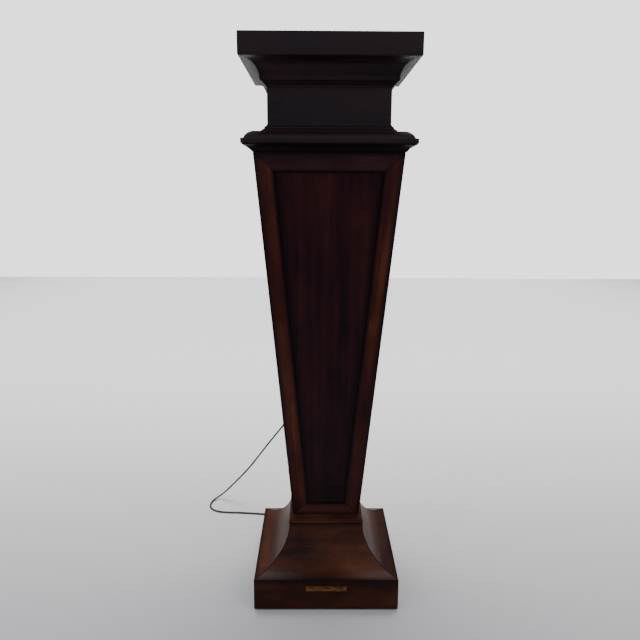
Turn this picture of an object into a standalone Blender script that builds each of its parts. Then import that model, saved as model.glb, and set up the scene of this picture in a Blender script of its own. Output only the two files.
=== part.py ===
"""Display plinth in dark mahogany with a lit, frosted glass top, modelled as its separate pieces.

Metres, +Z up. The origin is at the centre of the footprint, on the floor, and the front looks along -Y.
Wooden pieces are drawn to the sizes at which they touch and then made smaller by half of GAP all round.
"""

import math

import bmesh
import bpy
import numpy as np
from mathutils import Matrix, Vector

# Driving dimensions
GAP = 0.0003
SLAB_HALF = 0.1613
SLAB_UNDERSIDE = 1.090
TOP = 1.130
GLASS_THICKNESS = 0.006
NECK_HALF = 0.114
NECK_BOARD = 0.016
NECK_TOP = TOP - GLASS_THICKNESS
TOP_COVE_FOOT = 1.0445
TOP_COVE_RADIUS = 0.0305
CAPITAL_HALF = 0.1591
CAPITAL_TOP = 0.967
CAPITAL_BOTTOM = 0.944
COLUMN_TOP = 0.930
COLUMN_TOP_HALF = 0.1392
COLUMN_FOOT = 0.1753
COLUMN_FOOT_HALF = 0.0708
FRAME_WIDTH = 0.034
TOP_RAIL = 0.034
BOTTOM_RAIL = 0.027
PANEL_SET_BACK = 0.003
PANEL_THICKNESS = 0.009
FOOT_PLATE_HALF = 0.079
FOOT_PLATE_TOP = 0.169
COVE_TOP = 0.159
COVE_RADIUS = 0.088
COVE_ARC_END = 258.8
BLOCK_HALF = 0.1505
BLOCK_TOP = 0.070
BLOCK_BOARD = 0.022
GLIDE_HEIGHT = 0.0025
GLIDE_RADIUS = 0.010
PLATE_WIDTH = 0.085
PLATE_HEIGHT = 0.0115
PLATE_THICKNESS = 0.0014
PLATE_CENTRE_HEIGHT = 0.0515

# Lamp, switch and lead
LEAD_RADIUS = 0.00225
LEAD_EXIT_HEIGHT = 0.447
LEAD_POINT_SPACING = 0.0128
RELIEF_LENGTH = 0.034
RELIEF_INSIDE = 0.013
INLET_RADIUS = 0.0060
SWITCH_HEIGHT = 0.520
SWITCH_SWING = math.radians(9)
ROCKER_AXIS_DEPTH = 0.0015
LAMP_CAP_LEVEL = 0.0163
COIL_CENTRE = Vector((-0.020, 0.1980, 0.0))
COIL_RADIUS = 0.032
COIL_BASE = 0.0017
COIL_HALF_WIDTH = 2 * LEAD_RADIUS + 0.0002
COIL_HEIGHT = 4 * LEAD_RADIUS + 0.0002
TIE_ANGLE = math.radians(205)
TIE_WIDTH = 0.005
TIE_THICKNESS = 0.0012
PLUG_REAR = Vector((0.0275, 0.2300, 0.0090))
PLUG_HEADING = math.radians(-8)

# The free lead, from the strain relief's tip down to the floor and along it to the coil.
LEAD_ROUTE = (
    (0.0000, 0.1266, 0.4439),
    (0.0000, 0.1400, 0.4430),
    (-0.0035, 0.1525, 0.4395),
    (-0.0120, 0.1640, 0.4300),
    (-0.0235, 0.1735, 0.4115),
    (-0.0400, 0.1850, 0.3810),
    (-0.0625, 0.2000, 0.3370),
    (-0.0875, 0.2150, 0.2940),
    (-0.1155, 0.2320, 0.2510),
    (-0.1530, 0.2580, 0.1945),
    (-0.2035, 0.2900, 0.1175),
    (-0.2390, 0.3120, 0.0703),
    (-0.2755, 0.3280, 0.0275),
    (-0.2930, 0.3320, 0.0110),
    (-0.3070, 0.3240, 0.0042),
    (-0.3150, 0.3030, 0.0026),
    (-0.3130, 0.2800, 0.0026),
    (-0.2990, 0.2620, 0.0026),
    (-0.2750, 0.2530, 0.0026),
    (-0.2400, 0.2500, 0.0026),
    (-0.2000, 0.2465, 0.0026),
    (-0.1550, 0.2412, 0.0027),
    (-0.1100, 0.2360, 0.0030),
    (-0.0720, 0.2329, 0.0037),
    (-0.0387, 0.2323, 0.0040),
)
# The short end of the lead, from the top of the coil to the plug.
TAIL_ROUTE = (
    (-0.0013, 0.2323, 0.0130),
    (0.0085, 0.2319, 0.0118),
    (0.0180, 0.2311, 0.0098),
    (0.0272, 0.2300, 0.0090),
)
# The fixed lead inside the column, from the back panel up to the lamp holder.
INNER_ROUTE = (
    (0.0, 0.0790, 0.4482),
    (0.0, 0.0620, 0.4498),
    (0.0, 0.0420, 0.4545),
    (0.0, 0.0230, 0.4680),
    (0.0, 0.0090, 0.4920),
    (0.0, 0.0020, 0.5250),
    (0.0, 0.0000, 0.5700),
    (0.0, 0.0000, 0.7600),
    (0.0, 0.0000, 0.9665),
)

SIDES = ("front", "right", "back", "left")
CORNERS = ("front_left", "front_right", "back_right", "back_left")
COLUMN_SLOPE = (COLUMN_TOP_HALF - COLUMN_FOOT_HALF) / (COLUMN_TOP - COLUMN_FOOT)
COLUMN_LEAN = math.atan(COLUMN_SLOPE)


def column_half(height):
    """Half the column's width at a height."""
    return COLUMN_FOOT_HALF + COLUMN_SLOPE * (height - COLUMN_FOOT)


def clear_scene():
    for old in list(bpy.data.objects):
        bpy.data.objects.remove(old, do_unlink=True)


def principled(name, colour, roughness, metallic=0.0, coat=0.0, transmission=0.0):
    material = bpy.data.materials.new(name)
    material.use_nodes = True
    shader = material.node_tree.nodes["Principled BSDF"]
    shader.inputs["Base Color"].default_value = (*colour, 1.0)
    shader.inputs["Roughness"].default_value = roughness
    shader.inputs["Metallic"].default_value = metallic
    shader.inputs["Coat Weight"].default_value = coat
    shader.inputs["Transmission Weight"].default_value = transmission
    material.diffuse_color = (*colour, 1.0)
    return material


# Building tools


def face_outwards(bm):
    bmesh.ops.recalc_face_normals(bm, faces=bm.faces)
    if bm.calc_volume(signed=True) < 0.0:
        bmesh.ops.reverse_faces(bm, faces=bm.faces)
    bm.normal_update()


def link_mesh(name, bm, material, smooth_angle=None):
    """Turn a bmesh into a named object, with its faces pointing out."""
    face_outwards(bm)
    mesh = bpy.data.meshes.new(name)
    bm.to_mesh(mesh)
    bm.free()
    mesh.materials.append(material)
    if smooth_angle is not None:
        mesh.shade_smooth()
        mesh.set_sharp_from_angle(angle=smooth_angle)
    piece = bpy.data.objects.new(name, mesh)
    bpy.context.scene.collection.objects.link(piece)
    return piece


def add_bevel(piece, width, segments=2):
    bevel = piece.modifiers.new("Rounded edges", "BEVEL")
    bevel.width = width
    bevel.segments = segments
    bevel.limit_method = "ANGLE"
    bevel.angle_limit = math.radians(40)
    return bevel


def shrink(bm, distance=GAP / 2):
    """Move every face inwards by a distance."""
    face_outwards(bm)
    moves = [vertex.normal * distance * vertex.calc_shell_factor() for vertex in bm.verts]
    for vertex, move in zip(bm.verts, moves):
        vertex.co -= move


def hull(name, points, material, bevel=0.0):
    """A convex wooden piece with these corners."""
    bm = bmesh.new()
    for point in points:
        bm.verts.new(point)
    bmesh.ops.convex_hull(bm, input=bm.verts)
    bmesh.ops.dissolve_limit(bm, angle_limit=math.radians(0.5), verts=bm.verts, edges=bm.edges)
    shrink(bm)
    piece = link_mesh(name, bm, material)
    if bevel:
        add_bevel(piece, bevel)
    return piece


def mitred_side(name, outline, side, material, smooth_angle=math.radians(30)):
    """One of four mitred pieces around the axis. The outline is (distance from the axis, height) pairs."""
    bm = bmesh.new()
    left = [bm.verts.new((-out, -out, height)) for out, height in outline]
    right = [bm.verts.new((out, -out, height)) for out, height in outline]
    bm.faces.new(left)
    bm.faces.new(list(reversed(right)))
    for here in range(len(outline)):
        after = (here + 1) % len(outline)
        bm.faces.new((left[here], right[here], right[after], left[after]))
    shrink(bm)
    turn = Matrix.Rotation(math.radians(90) * side, 4, "Z")
    bmesh.ops.transform(bm, matrix=turn, verts=bm.verts)
    return link_mesh(name, bm, material, smooth_angle)


def four_sides(stem, outline, material):
    return [mitred_side(f"{stem}_{name}", outline, side, material) for side, name in enumerate(SIDES)]


def rectangle_stack(name, rings, material, place=None, bevel=0.0, fit=0.0):
    """A closed body through a stack of rectangles, each (half width, half depth, height)."""
    bm = bmesh.new()
    loops = []
    for wide, deep, height in rings:
        corners = ((-wide, -deep), (wide, -deep), (wide, deep), (-wide, deep))
        loops.append([bm.verts.new((x, y, height)) for x, y in corners])
    bm.faces.new(loops[0])
    bm.faces.new(loops[-1])
    for low, high in zip(loops, loops[1:]):
        for here in range(4):
            after = (here + 1) % 4
            bm.faces.new((low[here], low[after], high[after], high[here]))
    if fit:
        shrink(bm, fit)
    if place is not None:
        bmesh.ops.transform(bm, matrix=place, verts=bm.verts)
    piece = link_mesh(name, bm, material, math.radians(35))
    if bevel:
        add_bevel(piece, bevel)
    return piece


def square_board(name, outline, material):
    """A square wooden board with moulded edges. The outline is (half width, height) pairs, going up."""
    rings = [(half, half, height) for half, height in outline]
    return rectangle_stack(name, rings, material, fit=GAP / 2)


def turned(name, outline, material, place=None, segments=32):
    """A closed outline of (radius, height) pairs turned around its own axis. Two points may lie on it."""
    bm = bmesh.new()
    columns = []
    for radius, height in outline:
        if radius == 0.0:
            columns.append([bm.verts.new((0.0, 0.0, height))])
            continue
        angles = [math.tau * step / segments for step in range(segments)]
        columns.append([bm.verts.new((radius * math.cos(a), radius * math.sin(a), height)) for a in angles])
    closed_pairs = list(zip(columns, columns[1:] + columns[:1]))
    for low, high in closed_pairs:
        if len(low) == 1 and len(high) == 1:
            continue
        for step in range(segments):
            after = (step + 1) % segments
            corners = [low[step % len(low)], low[after % len(low)]]
            corners += [high[after % len(high)], high[step % len(high)]]
            unique = list(dict.fromkeys(corners))
            bm.faces.new(unique)
    if place is not None:
        bmesh.ops.transform(bm, matrix=place, verts=bm.verts)
    return link_mesh(name, bm, material, math.radians(35))


def smooth_route(points, spacing):
    """Evenly spaced points on the natural cubic spline through a route's points."""
    knots = np.array(points, dtype=float)
    steps = np.linalg.norm(np.diff(knots, axis=0), axis=1)
    along = np.concatenate(([0.0], np.cumsum(steps)))
    count = len(knots)
    matrix = np.eye(count)
    right = np.zeros((count, 3))
    for i in range(1, count - 1):
        matrix[i, i - 1] = steps[i - 1]
        matrix[i, i] = 2 * (steps[i - 1] + steps[i])
        matrix[i, i + 1] = steps[i]
        right[i] = 6 * ((knots[i + 1] - knots[i]) / steps[i] - (knots[i] - knots[i - 1]) / steps[i - 1])
    bend = np.linalg.solve(matrix, right)
    fine = []
    for i in range(count - 1):
        for part in np.linspace(0.0, 1.0, 24, endpoint=False):
            before, after = part * steps[i], (1 - part) * steps[i]
            point = (bend[i] * after**3 + bend[i + 1] * before**3) / (6 * steps[i])
            point += (knots[i] / steps[i] - bend[i] * steps[i] / 6) * after
            point += (knots[i + 1] / steps[i] - bend[i + 1] * steps[i] / 6) * before
            fine.append(point)
    fine.append(knots[-1])
    fine = np.array(fine)
    travelled = np.concatenate(([0.0], np.cumsum(np.linalg.norm(np.diff(fine, axis=0), axis=1))))
    stations = np.linspace(0.0, travelled[-1], max(2, round(travelled[-1] / spacing) + 1))
    columns = [np.interp(stations, travelled, fine[:, axis]) for axis in range(3)]
    return list(zip(*columns))


def tube(name, points, radius, material):
    """A round cable along these points, as a bevelled curve with filled ends."""
    curve = bpy.data.curves.new(name, "CURVE")
    curve.dimensions = "3D"
    curve.bevel_depth = radius
    curve.bevel_resolution = 2
    curve.use_fill_caps = True
    spline = curve.splines.new("POLY")
    spline.points.add(len(points) - 1)
    for knot, point in zip(spline.points, points):
        knot.co = (*point, 1.0)
    spline.use_smooth = True
    curve.materials.append(material)
    cable = bpy.data.objects.new(name, curve)
    bpy.context.scene.collection.objects.link(cable)
    return cable


def arc(centre, radius, start, end, steps):
    """Points along an arc in the (distance, height) plane. Angles are in degrees."""
    points = []
    for step in range(steps + 1):
        angle = math.radians(start + (end - start) * step / steps)
        points.append((centre[0] + radius * math.cos(angle), centre[1] + radius * math.sin(angle)))
    return points


def cut(piece, cutter, operation="DIFFERENCE"):
    boolean = piece.modifiers.new("Cut", "BOOLEAN")
    boolean.operation = operation
    boolean.solver = "EXACT"
    boolean.object = cutter
    cutter.hide_render = True
    cutter.display_type = "WIRE"


# Plinth block


def make_block(wood, nylon):
    arris = 0.0012
    boards = [
        (BLOCK_HALF - BLOCK_BOARD, GLIDE_HEIGHT),
        (BLOCK_HALF - arris, GLIDE_HEIGHT),
        (BLOCK_HALF, GLIDE_HEIGHT + arris),
        (BLOCK_HALF, BLOCK_TOP - arris),
        (BLOCK_HALF - arris, BLOCK_TOP),
        (BLOCK_HALF - BLOCK_BOARD, BLOCK_TOP),
    ]
    four_sides("base_board", boards, wood)
    inside = BLOCK_HALF - BLOCK_BOARD
    square_board("bottom_board", [(inside, GLIDE_HEIGHT), (inside, 0.018)], wood)
    place = inside - GLIDE_RADIUS - 0.002
    spots = ((-place, -place), (place, -place), (place, place), (-place, place))
    for (x, y), corner in zip(spots, CORNERS):
        outline = [
            (0.0, 0.0),
            (GLIDE_RADIUS - 0.0006, 0.0),
            (GLIDE_RADIUS, 0.0006),
            (GLIDE_RADIUS, GLIDE_HEIGHT - GAP / 2),
            (0.0, GLIDE_HEIGHT - GAP / 2),
        ]
        turned(f"glide_{corner}", outline, nylon, Matrix.Translation((x, y, 0.0)), 24)


def make_base_coves(wood):
    """Concave mouldings: an arc that is upright at the foot plate and nearly level at the block."""
    fillet = 0.002
    inside = FOOT_PLATE_HALF - 0.022
    outline = [(inside, COVE_TOP), (FOOT_PLATE_HALF, COVE_TOP)]
    outline += arc((FOOT_PLATE_HALF + COVE_RADIUS, COVE_TOP - fillet), COVE_RADIUS, 180, COVE_ARC_END, 14)
    outline += [(BLOCK_HALF - 0.0003, BLOCK_TOP), (0.100, BLOCK_TOP), (inside, 0.104)]
    four_sides("base_cove", outline, wood)


def make_nameplate(brass):
    """Plain plate with a bevelled rim on the front board."""
    rim = 0.0006
    wide, tall = PLATE_WIDTH / 2, PLATE_HEIGHT / 2
    rings = [
        (wide, tall, GAP / 2),
        (wide, tall, PLATE_THICKNESS - rim),
        (wide - rim, tall - rim, PLATE_THICKNESS),
    ]
    upright = Matrix.Rotation(math.radians(90), 4, "X")
    place = Matrix.Translation((0.0, -BLOCK_HALF, PLATE_CENTRE_HEIGHT)) @ upright
    rectangle_stack("nameplate", rings, brass, place)


# Column


def make_foot_plate(wood):
    """Flat band, groove and thin upper step, and a set-back riser under the column. Outlines run upwards."""
    riser = COLUMN_FOOT_HALF - 0.0030
    band = FOOT_PLATE_HALF + 0.0008
    outline = [
        (FOOT_PLATE_HALF - 0.0012, COVE_TOP),
        (band, COVE_TOP + 0.0016),
        (band, COVE_TOP + 0.0060),
        (band - 0.0006, COVE_TOP + 0.0067),
        (band - 0.0026, COVE_TOP + 0.0069),
        (band - 0.0026, COVE_TOP + 0.0077),
        (band - 0.0010, COVE_TOP + 0.0081),
        (band - 0.0010, FOOT_PLATE_TOP - 0.0008),
        (band - 0.0018, FOOT_PLATE_TOP),
        (riser, FOOT_PLATE_TOP),
        (riser, COLUMN_FOOT),
    ]
    square_board("foot_plate", outline, wood)


def column_point(right, front, across_x, across_y, height):
    """A point measured inwards from the column's tapered corner edge on one corner."""
    half = column_half(height)
    return Vector((right * (half - across_x), front * (half - across_y), height))


def make_corner_posts(wood):
    """Square tapered posts, each end hipped where the rails' mitres meet it."""
    width = FRAME_WIDTH
    signs = ((-1, -1), (1, -1), (1, 1), (-1, 1))
    for (right, front), corner in zip(signs, CORNERS):
        points = []
        for end, inner in ((COLUMN_TOP, COLUMN_TOP - TOP_RAIL), (COLUMN_FOOT, COLUMN_FOOT + BOTTOM_RAIL)):
            points.append(column_point(right, front, 0.0, 0.0, end))
            points.append(column_point(right, front, width, 0.0, inner))
            points.append(column_point(right, front, 0.0, width, inner))
            points.append(column_point(right, front, width, width, inner))
        hull(f"corner_post_{corner}", points, wood, bevel=0.0006)


def make_rails(wood):
    width = FRAME_WIDTH
    levels = {
        "top_rail": (COLUMN_TOP, COLUMN_TOP - TOP_RAIL),
        "bottom_rail": (COLUMN_FOOT, COLUMN_FOOT + BOTTOM_RAIL),
    }
    for stem, (end, inner) in levels.items():
        for side, name in enumerate(SIDES):
            turn = Matrix.Rotation(math.radians(90) * side, 4, "Z")
            points = []
            for right in (-1, 1):
                points.append(turn @ column_point(right, -1, 0.0, 0.0, end))
                points.append(turn @ column_point(right, -1, width, width, end))
                points.append(turn @ column_point(right, -1, width, 0.0, inner))
                points.append(turn @ column_point(right, -1, width, width, inner))
            hull(f"{stem}_{name}", points, wood, bevel=0.0006)


def make_panels(wood):
    """Tapered panels, set back from the frame's face."""
    low = COLUMN_FOOT + BOTTOM_RAIL
    high = COLUMN_TOP - TOP_RAIL
    made = {}
    for side, name in enumerate(SIDES):
        turn = Matrix.Rotation(math.radians(90) * side, 4, "Z")
        points = []
        for right in (-1, 1):
            for depth in (PANEL_SET_BACK, PANEL_SET_BACK + PANEL_THICKNESS):
                for height in (low, high):
                    points.append(turn @ column_point(right, -1, FRAME_WIDTH, depth, height))
        made[name] = hull(f"panel_{name}", points, wood)
    return made


# Capital, neck and top


def make_capital(wood):
    """Bed moulding under a board with a square lip and an ovolo above it."""
    out, up = COLUMN_TOP_HALF, COLUMN_TOP
    inside = COLUMN_TOP_HALF - FRAME_WIDTH
    bed = [
        (inside, up),
        (out + 0.0008, up),
        (out + 0.0032, up + 0.0022),
        (out + 0.0060, up + 0.0058),
        (out + 0.0092, up + 0.0088),
        (out + 0.0126, up + 0.0104),
        (out + 0.0168, up + 0.0116),
        (out + 0.0180, up + 0.0126),
        (out + 0.0180, CAPITAL_BOTTOM),
        (inside, CAPITAL_BOTTOM),
    ]
    four_sides("bed_moulding", bed, wood)
    lip_top = CAPITAL_BOTTOM + 0.0090
    ovolo = arc((CAPITAL_HALF - 0.0250, CAPITAL_BOTTOM + 0.0015), 0.0215, 20.4, 90, 8)
    outline = [
        (CAPITAL_HALF - 0.0012, CAPITAL_BOTTOM),
        (CAPITAL_HALF, CAPITAL_BOTTOM + 0.0012),
        (CAPITAL_HALF, lip_top - 0.0008),
        (CAPITAL_HALF - 0.0008, lip_top),
    ]
    outline += ovolo[:-1]
    outline += [(CAPITAL_HALF - 0.0265, CAPITAL_TOP)]
    board = square_board("capital_board", outline, wood)
    cutter = turned("inner_lead_hole", rod_outline(2 * LEAD_RADIUS, 0.9, 1.0), wood, None, 20)
    cut(board, cutter)


def make_neck(wood):
    """Four boards with a moulded foot that stands on the capital board."""
    out, up = NECK_HALF, CAPITAL_TOP
    inside = NECK_HALF - NECK_BOARD
    outline = [
        (inside, up),
        (out + 0.0105, up),
        (out + 0.0105, up + 0.0020),
        (out + 0.0092, up + 0.0034),
        (out + 0.0065, up + 0.0046),
        (out + 0.0051, up + 0.0060),
        (out + 0.0050, up + 0.0078),
        (out + 0.0038, up + 0.0094),
        (out + 0.0020, up + 0.0104),
        (out + 0.0012, up + 0.0120),
        (out, up + 0.0138),
        (out, NECK_TOP),
        (inside, NECK_TOP),
    ]
    four_sides("neck_board", outline, wood)


def make_top_coves(wood):
    """Concave mouldings on a small stepped foot, from the neck box out to the slab."""
    out, up = NECK_HALF, TOP_COVE_FOOT
    outline = [
        (out, up),
        (out + 0.0010, up),
        (out + 0.0016, up + 0.0019),
        (out + 0.0038, up + 0.0051),
        (out + 0.0070, up + 0.0070),
        (out + 0.0070, up + 0.0085),
        (out + 0.0098, up + 0.0095),
        (out + 0.0116, up + 0.0111),
        (out + 0.0122, up + 0.0130),
    ]
    outline += arc((out + 0.0122 + TOP_COVE_RADIUS, up + 0.0147), TOP_COVE_RADIUS, 180, 90, 12)
    outline += [(out + 0.0432, SLAB_UNDERSIDE), (NECK_HALF, SLAB_UNDERSIDE)]
    four_sides("top_cove", outline, wood)


def make_slab(wood):
    lower = 0.0026
    upper = 0.0014
    outline = [(NECK_HALF, SLAB_UNDERSIDE)]
    outline += arc((SLAB_HALF - lower, SLAB_UNDERSIDE + lower), lower, -90, 0, 3)
    outline += arc((SLAB_HALF - upper, TOP - upper), upper, 0, 90, 3)
    outline += [(NECK_HALF, TOP)]
    four_sides("slab_board", outline, wood)


def make_glass(glass):
    """Square panel on the neck box, with one clipped corner that a finger fits in to lift it."""
    half = NECK_HALF - GAP
    clip = 0.020
    low = NECK_TOP + GAP / 2
    corners = [(-half, -half), (half, -half), (half, half - clip), (half - clip, half), (-half, half)]
    bm = bmesh.new()
    bottom = [bm.verts.new((x, y, low)) for x, y in corners]
    top = [bm.verts.new((x, y, TOP - GAP / 2)) for x, y in corners]
    bm.faces.new(list(reversed(bottom)))
    bm.faces.new(top)
    for here in range(len(corners)):
        after = (here + 1) % len(corners)
        bm.faces.new((bottom[here], bottom[after], top[after], top[here]))
    piece = link_mesh("glass_panel", bm, glass)
    add_bevel(piece, 0.0006, 1)


# Lamp and switch


def make_lamp(ceramic, lamp_glass):
    """Batten holder standing on the capital board, and the lamp in its cup."""
    foot = CAPITAL_TOP + GAP / 2
    holder = [
        (0.0, foot),
        (0.0300, foot),
        (0.0300, foot + 0.0060),
        (0.0288, foot + 0.0072),
        (0.0215, foot + 0.0090),
        (0.0205, foot + 0.0110),
        (0.0195, foot + 0.0440),
        (0.0184, foot + 0.0450),
        (0.0150, foot + 0.0450),
        (0.0140, foot + 0.0440),
        (0.0140, foot + 0.0160),
        (0.0, foot + 0.0160),
    ]
    turned("lamp_holder", holder, ceramic, None, 36)
    low = foot + LAMP_CAP_LEVEL
    globe_radius = 0.0275
    globe_centre = low + 0.066
    globe = arc((0.0, globe_centre), globe_radius, -50, 84, 12)
    outline = [
        (0.0, low),
        (0.0100, low),
        (0.0130, low + 0.0030),
        (0.0130, low + 0.0270),
        (0.0145, low + 0.0300),
    ]
    outline += globe
    outline += [(0.0, globe_centre + globe_radius)]
    turned("lamp", outline, lamp_glass, None, 36)


def back_face_place(height):
    """A place on the sunk back panel's face: local +Z points straight out of it, local +Y down along it."""
    face = column_half(height) - PANEL_SET_BACK - GAP / 2
    tilt = Matrix.Rotation(-(math.radians(90) + COLUMN_LEAN), 4, "X")
    return Matrix.Translation((0.0, face, height)) @ tilt


def make_strain_relief(rubber, panel):
    """A flanged gland through the back panel with a tapered boot outside it."""
    place = back_face_place(LEAD_EXIT_HEIGHT)
    stem = INLET_RADIUS - GAP
    outline = [
        (0.0, -RELIEF_INSIDE),
        (stem, -RELIEF_INSIDE),
        (stem, GAP),
        (0.0095, GAP),
        (0.0098, 0.0010),
        (0.0095, 0.0028),
        (0.0078, 0.0036),
        (0.0062, 0.0048),
        (0.0038, RELIEF_LENGTH - 0.0008),
        (0.0034, RELIEF_LENGTH),
        (0.0, RELIEF_LENGTH),
    ]
    turned("strain_relief", outline, rubber, place, 28)
    cutter = turned("inlet_hole", rod_outline(INLET_RADIUS, -0.03, 0.03), rubber, place, 28)
    cut(panel, cutter)


def make_switch(body_plastic, rocker_plastic, panel):
    """Snap-in rocker switch. Its axle lies level just under the bezel. At rest its lower end is in."""
    place = back_face_place(SWITCH_HEIGHT)
    body = [
        (0.0064, 0.0094, -0.0140),
        (0.0064, 0.0094, GAP),
        (0.0075, 0.0105, GAP),
        (0.0075, 0.0105, 0.0012),
        (0.0070, 0.0100, 0.0018),
        (0.0056, 0.0086, 0.0018),
        (0.0056, 0.0086, -0.0080),
    ]
    rectangle_stack("switch_body", body, body_plastic, place)
    hole = [
        (0.0067, 0.0097, -0.03),
        (0.0067, 0.0097, 0.03),
    ]
    cut(panel, rectangle_stack("switch_hole", hole, body_plastic, place))

    width = 0.0052
    outline = (
        (-0.0076, 0.0022 + ROCKER_AXIS_DEPTH),
        (-0.0040, 0.0014 + ROCKER_AXIS_DEPTH),
        (0.0, 0.0011 + ROCKER_AXIS_DEPTH),
        (0.0040, 0.0014 + ROCKER_AXIS_DEPTH),
        (0.0076, 0.0022 + ROCKER_AXIS_DEPTH),
        (0.0070, -0.0010),
        (0.0030, -0.0040),
        (-0.0030, -0.0040),
        (-0.0070, -0.0010),
    )
    bm = bmesh.new()
    left = [bm.verts.new((-width, y, z)) for y, z in outline]
    right = [bm.verts.new((width, y, z)) for y, z in outline]
    bm.faces.new(left)
    bm.faces.new(list(reversed(right)))
    for here in range(len(outline)):
        after = (here + 1) % len(outline)
        bm.faces.new((left[here], right[here], right[after], left[after]))
    rocker = link_mesh("switch_rocker", bm, rocker_plastic, math.radians(35))
    axle = Matrix.Translation((0.0, 0.0, -ROCKER_AXIS_DEPTH)) @ Matrix.Rotation(-SWITCH_SWING, 4, "X")
    rocker.matrix_world = place @ axle
    add_bevel(rocker, 0.0004)


def rod_outline(radius, low, high):
    return [(0.0, low), (radius, low), (radius, high), (0.0, high)]


# Lead


def make_lead(cable, tie_plastic):
    tube("inner_lead", smooth_route(INNER_ROUTE, 0.016), LEAD_RADIUS, cable)
    tube("lead_run", smooth_route(LEAD_ROUTE, LEAD_POINT_SPACING), LEAD_RADIUS, cable)
    tube("lead_tail", smooth_route(TAIL_ROUTE, LEAD_POINT_SPACING / 2), LEAD_RADIUS, cable)
    make_coil(cable)
    make_tie(tie_plastic)


def make_coil(cable):
    """The outer shape of the coiled part of the lead: a ring with rounded edges."""
    inner = COIL_RADIUS - COIL_HALF_WIDTH
    outer = COIL_RADIUS + COIL_HALF_WIDTH
    top = COIL_BASE + COIL_HEIGHT
    edge = LEAD_RADIUS * 0.6
    outline = arc((outer - edge, COIL_BASE + edge), edge, -90, 0, 2)
    outline += arc((outer - edge, top - edge), edge, 0, 90, 2)
    outline += arc((inner + edge, top - edge), edge, 90, 180, 2)
    outline += arc((inner + edge, COIL_BASE + edge), edge, 180, 270, 2)
    turned("lead_coil", outline, cable, Matrix.Translation(COIL_CENTRE), 48)


def make_tie(plastic):
    """A flat band around the coil's section."""
    bm = bmesh.new()
    half_wide = COIL_HALF_WIDTH + GAP
    low = COIL_BASE - GAP
    high = COIL_BASE + COIL_HEIGHT + GAP
    loops = []
    for grow in (0.0, TIE_THICKNESS):
        corners = (
            (-half_wide - grow, low - grow),
            (half_wide + grow, low - grow),
            (half_wide + grow, high + grow),
            (-half_wide - grow, high + grow),
        )
        for side in (-TIE_WIDTH / 2, TIE_WIDTH / 2):
            loops.append([bm.verts.new((COIL_RADIUS + x, side, z)) for x, z in corners])
    near_inner, far_inner, near_outer, far_outer = loops
    for here in range(4):
        after = (here + 1) % 4
        bm.faces.new((near_inner[here], near_inner[after], far_inner[after], far_inner[here]))
        bm.faces.new((near_outer[here], near_outer[after], far_outer[after], far_outer[here]))
        bm.faces.new((near_inner[here], near_inner[after], near_outer[after], near_outer[here]))
        bm.faces.new((far_inner[here], far_inner[after], far_outer[after], far_outer[here]))
    place = Matrix.Translation(COIL_CENTRE) @ Matrix.Rotation(TIE_ANGLE, 4, "Z")
    bmesh.ops.transform(bm, matrix=place, verts=bm.verts)
    link_mesh("lead_tie", bm, plastic)


def make_plug(rubber, nickel):
    """Flat two-blade plug lying on the floor, its local +Z from the lead's entry to the blades' tips."""
    level = Matrix.Rotation(math.radians(90), 4, "Y")
    place = Matrix.Translation(PLUG_REAR) @ Matrix.Rotation(PLUG_HEADING, 4, "Z") @ level
    body = [
        (0.0034, 0.0034, 0.0),
        (0.0046, 0.0050, 0.0120),
        (0.0062, 0.0085, 0.0160),
        (0.0068, 0.0092, 0.0185),
        (0.0068, 0.0092, 0.0355),
        (0.0058, 0.0082, 0.0370),
    ]
    plug = rectangle_stack("plug", body, rubber, place, bevel=0.0012)
    for number, offset in enumerate((-0.00635, 0.00635)):
        blade = [
            (0.00315, 0.00075, 0.0300),
            (0.00315, 0.00075, 0.0525),
            (0.00265, 0.00045, 0.0540),
        ]
        beside = Matrix.Translation((0.0, offset, 0.0))
        cutter = rectangle_stack(f"plug_blade_{number}", blade, nickel, place @ beside)
        cut(plug, cutter, "UNION")


def main():
    clear_scene()
    dark_wood = principled("Dark mahogany", (0.022, 0.0095, 0.0075), 0.32, coat=0.25)
    frame_wood = principled("Red mahogany", (0.060, 0.018, 0.0085), 0.34, coat=0.25)
    panel_wood = principled("Plum mahogany", (0.030, 0.0090, 0.0075), 0.36, coat=0.25)
    base_wood = principled("Warm mahogany", (0.050, 0.020, 0.011), 0.36, coat=0.25)
    brass = principled("Aged brass", (0.42, 0.27, 0.11), 0.38, metallic=1.0)
    nylon = principled("Brown nylon", (0.09, 0.06, 0.045), 0.55)
    glass = principled("Frosted glass", (0.86, 0.90, 0.88), 0.45, transmission=0.8)
    ceramic = principled("White ceramic", (0.82, 0.81, 0.77), 0.25)
    lamp_glass = principled("Opal lamp glass", (0.92, 0.90, 0.84), 0.30)
    black_rubber = principled("Black moulding", (0.02, 0.02, 0.02), 0.50)
    black_plastic = principled("Black plastic", (0.018, 0.018, 0.019), 0.35)
    cable = principled("Lead sheath", (0.028, 0.024, 0.024), 0.45)
    nickel = principled("Nickel", (0.70, 0.68, 0.64), 0.25, metallic=1.0)

    make_block(base_wood, nylon)
    make_base_coves(base_wood)
    make_nameplate(brass)
    make_foot_plate(base_wood)
    make_corner_posts(frame_wood)
    make_rails(frame_wood)
    panels = make_panels(panel_wood)
    make_capital(dark_wood)
    make_neck(dark_wood)
    make_top_coves(dark_wood)
    make_slab(dark_wood)
    make_glass(glass)
    make_lamp(ceramic, lamp_glass)
    make_strain_relief(black_rubber, panels["back"])
    make_switch(black_plastic, black_plastic, panels["back"])
    make_lead(cable, black_plastic)
    make_plug(black_rubber, nickel)


main()
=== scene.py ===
"""Looks of the display plinth: polished mahogany, aged brass, frosted glass and the loose lead."""

import math

import bmesh
import bpy
import numpy as np
from mathutils import Matrix, Vector


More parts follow.
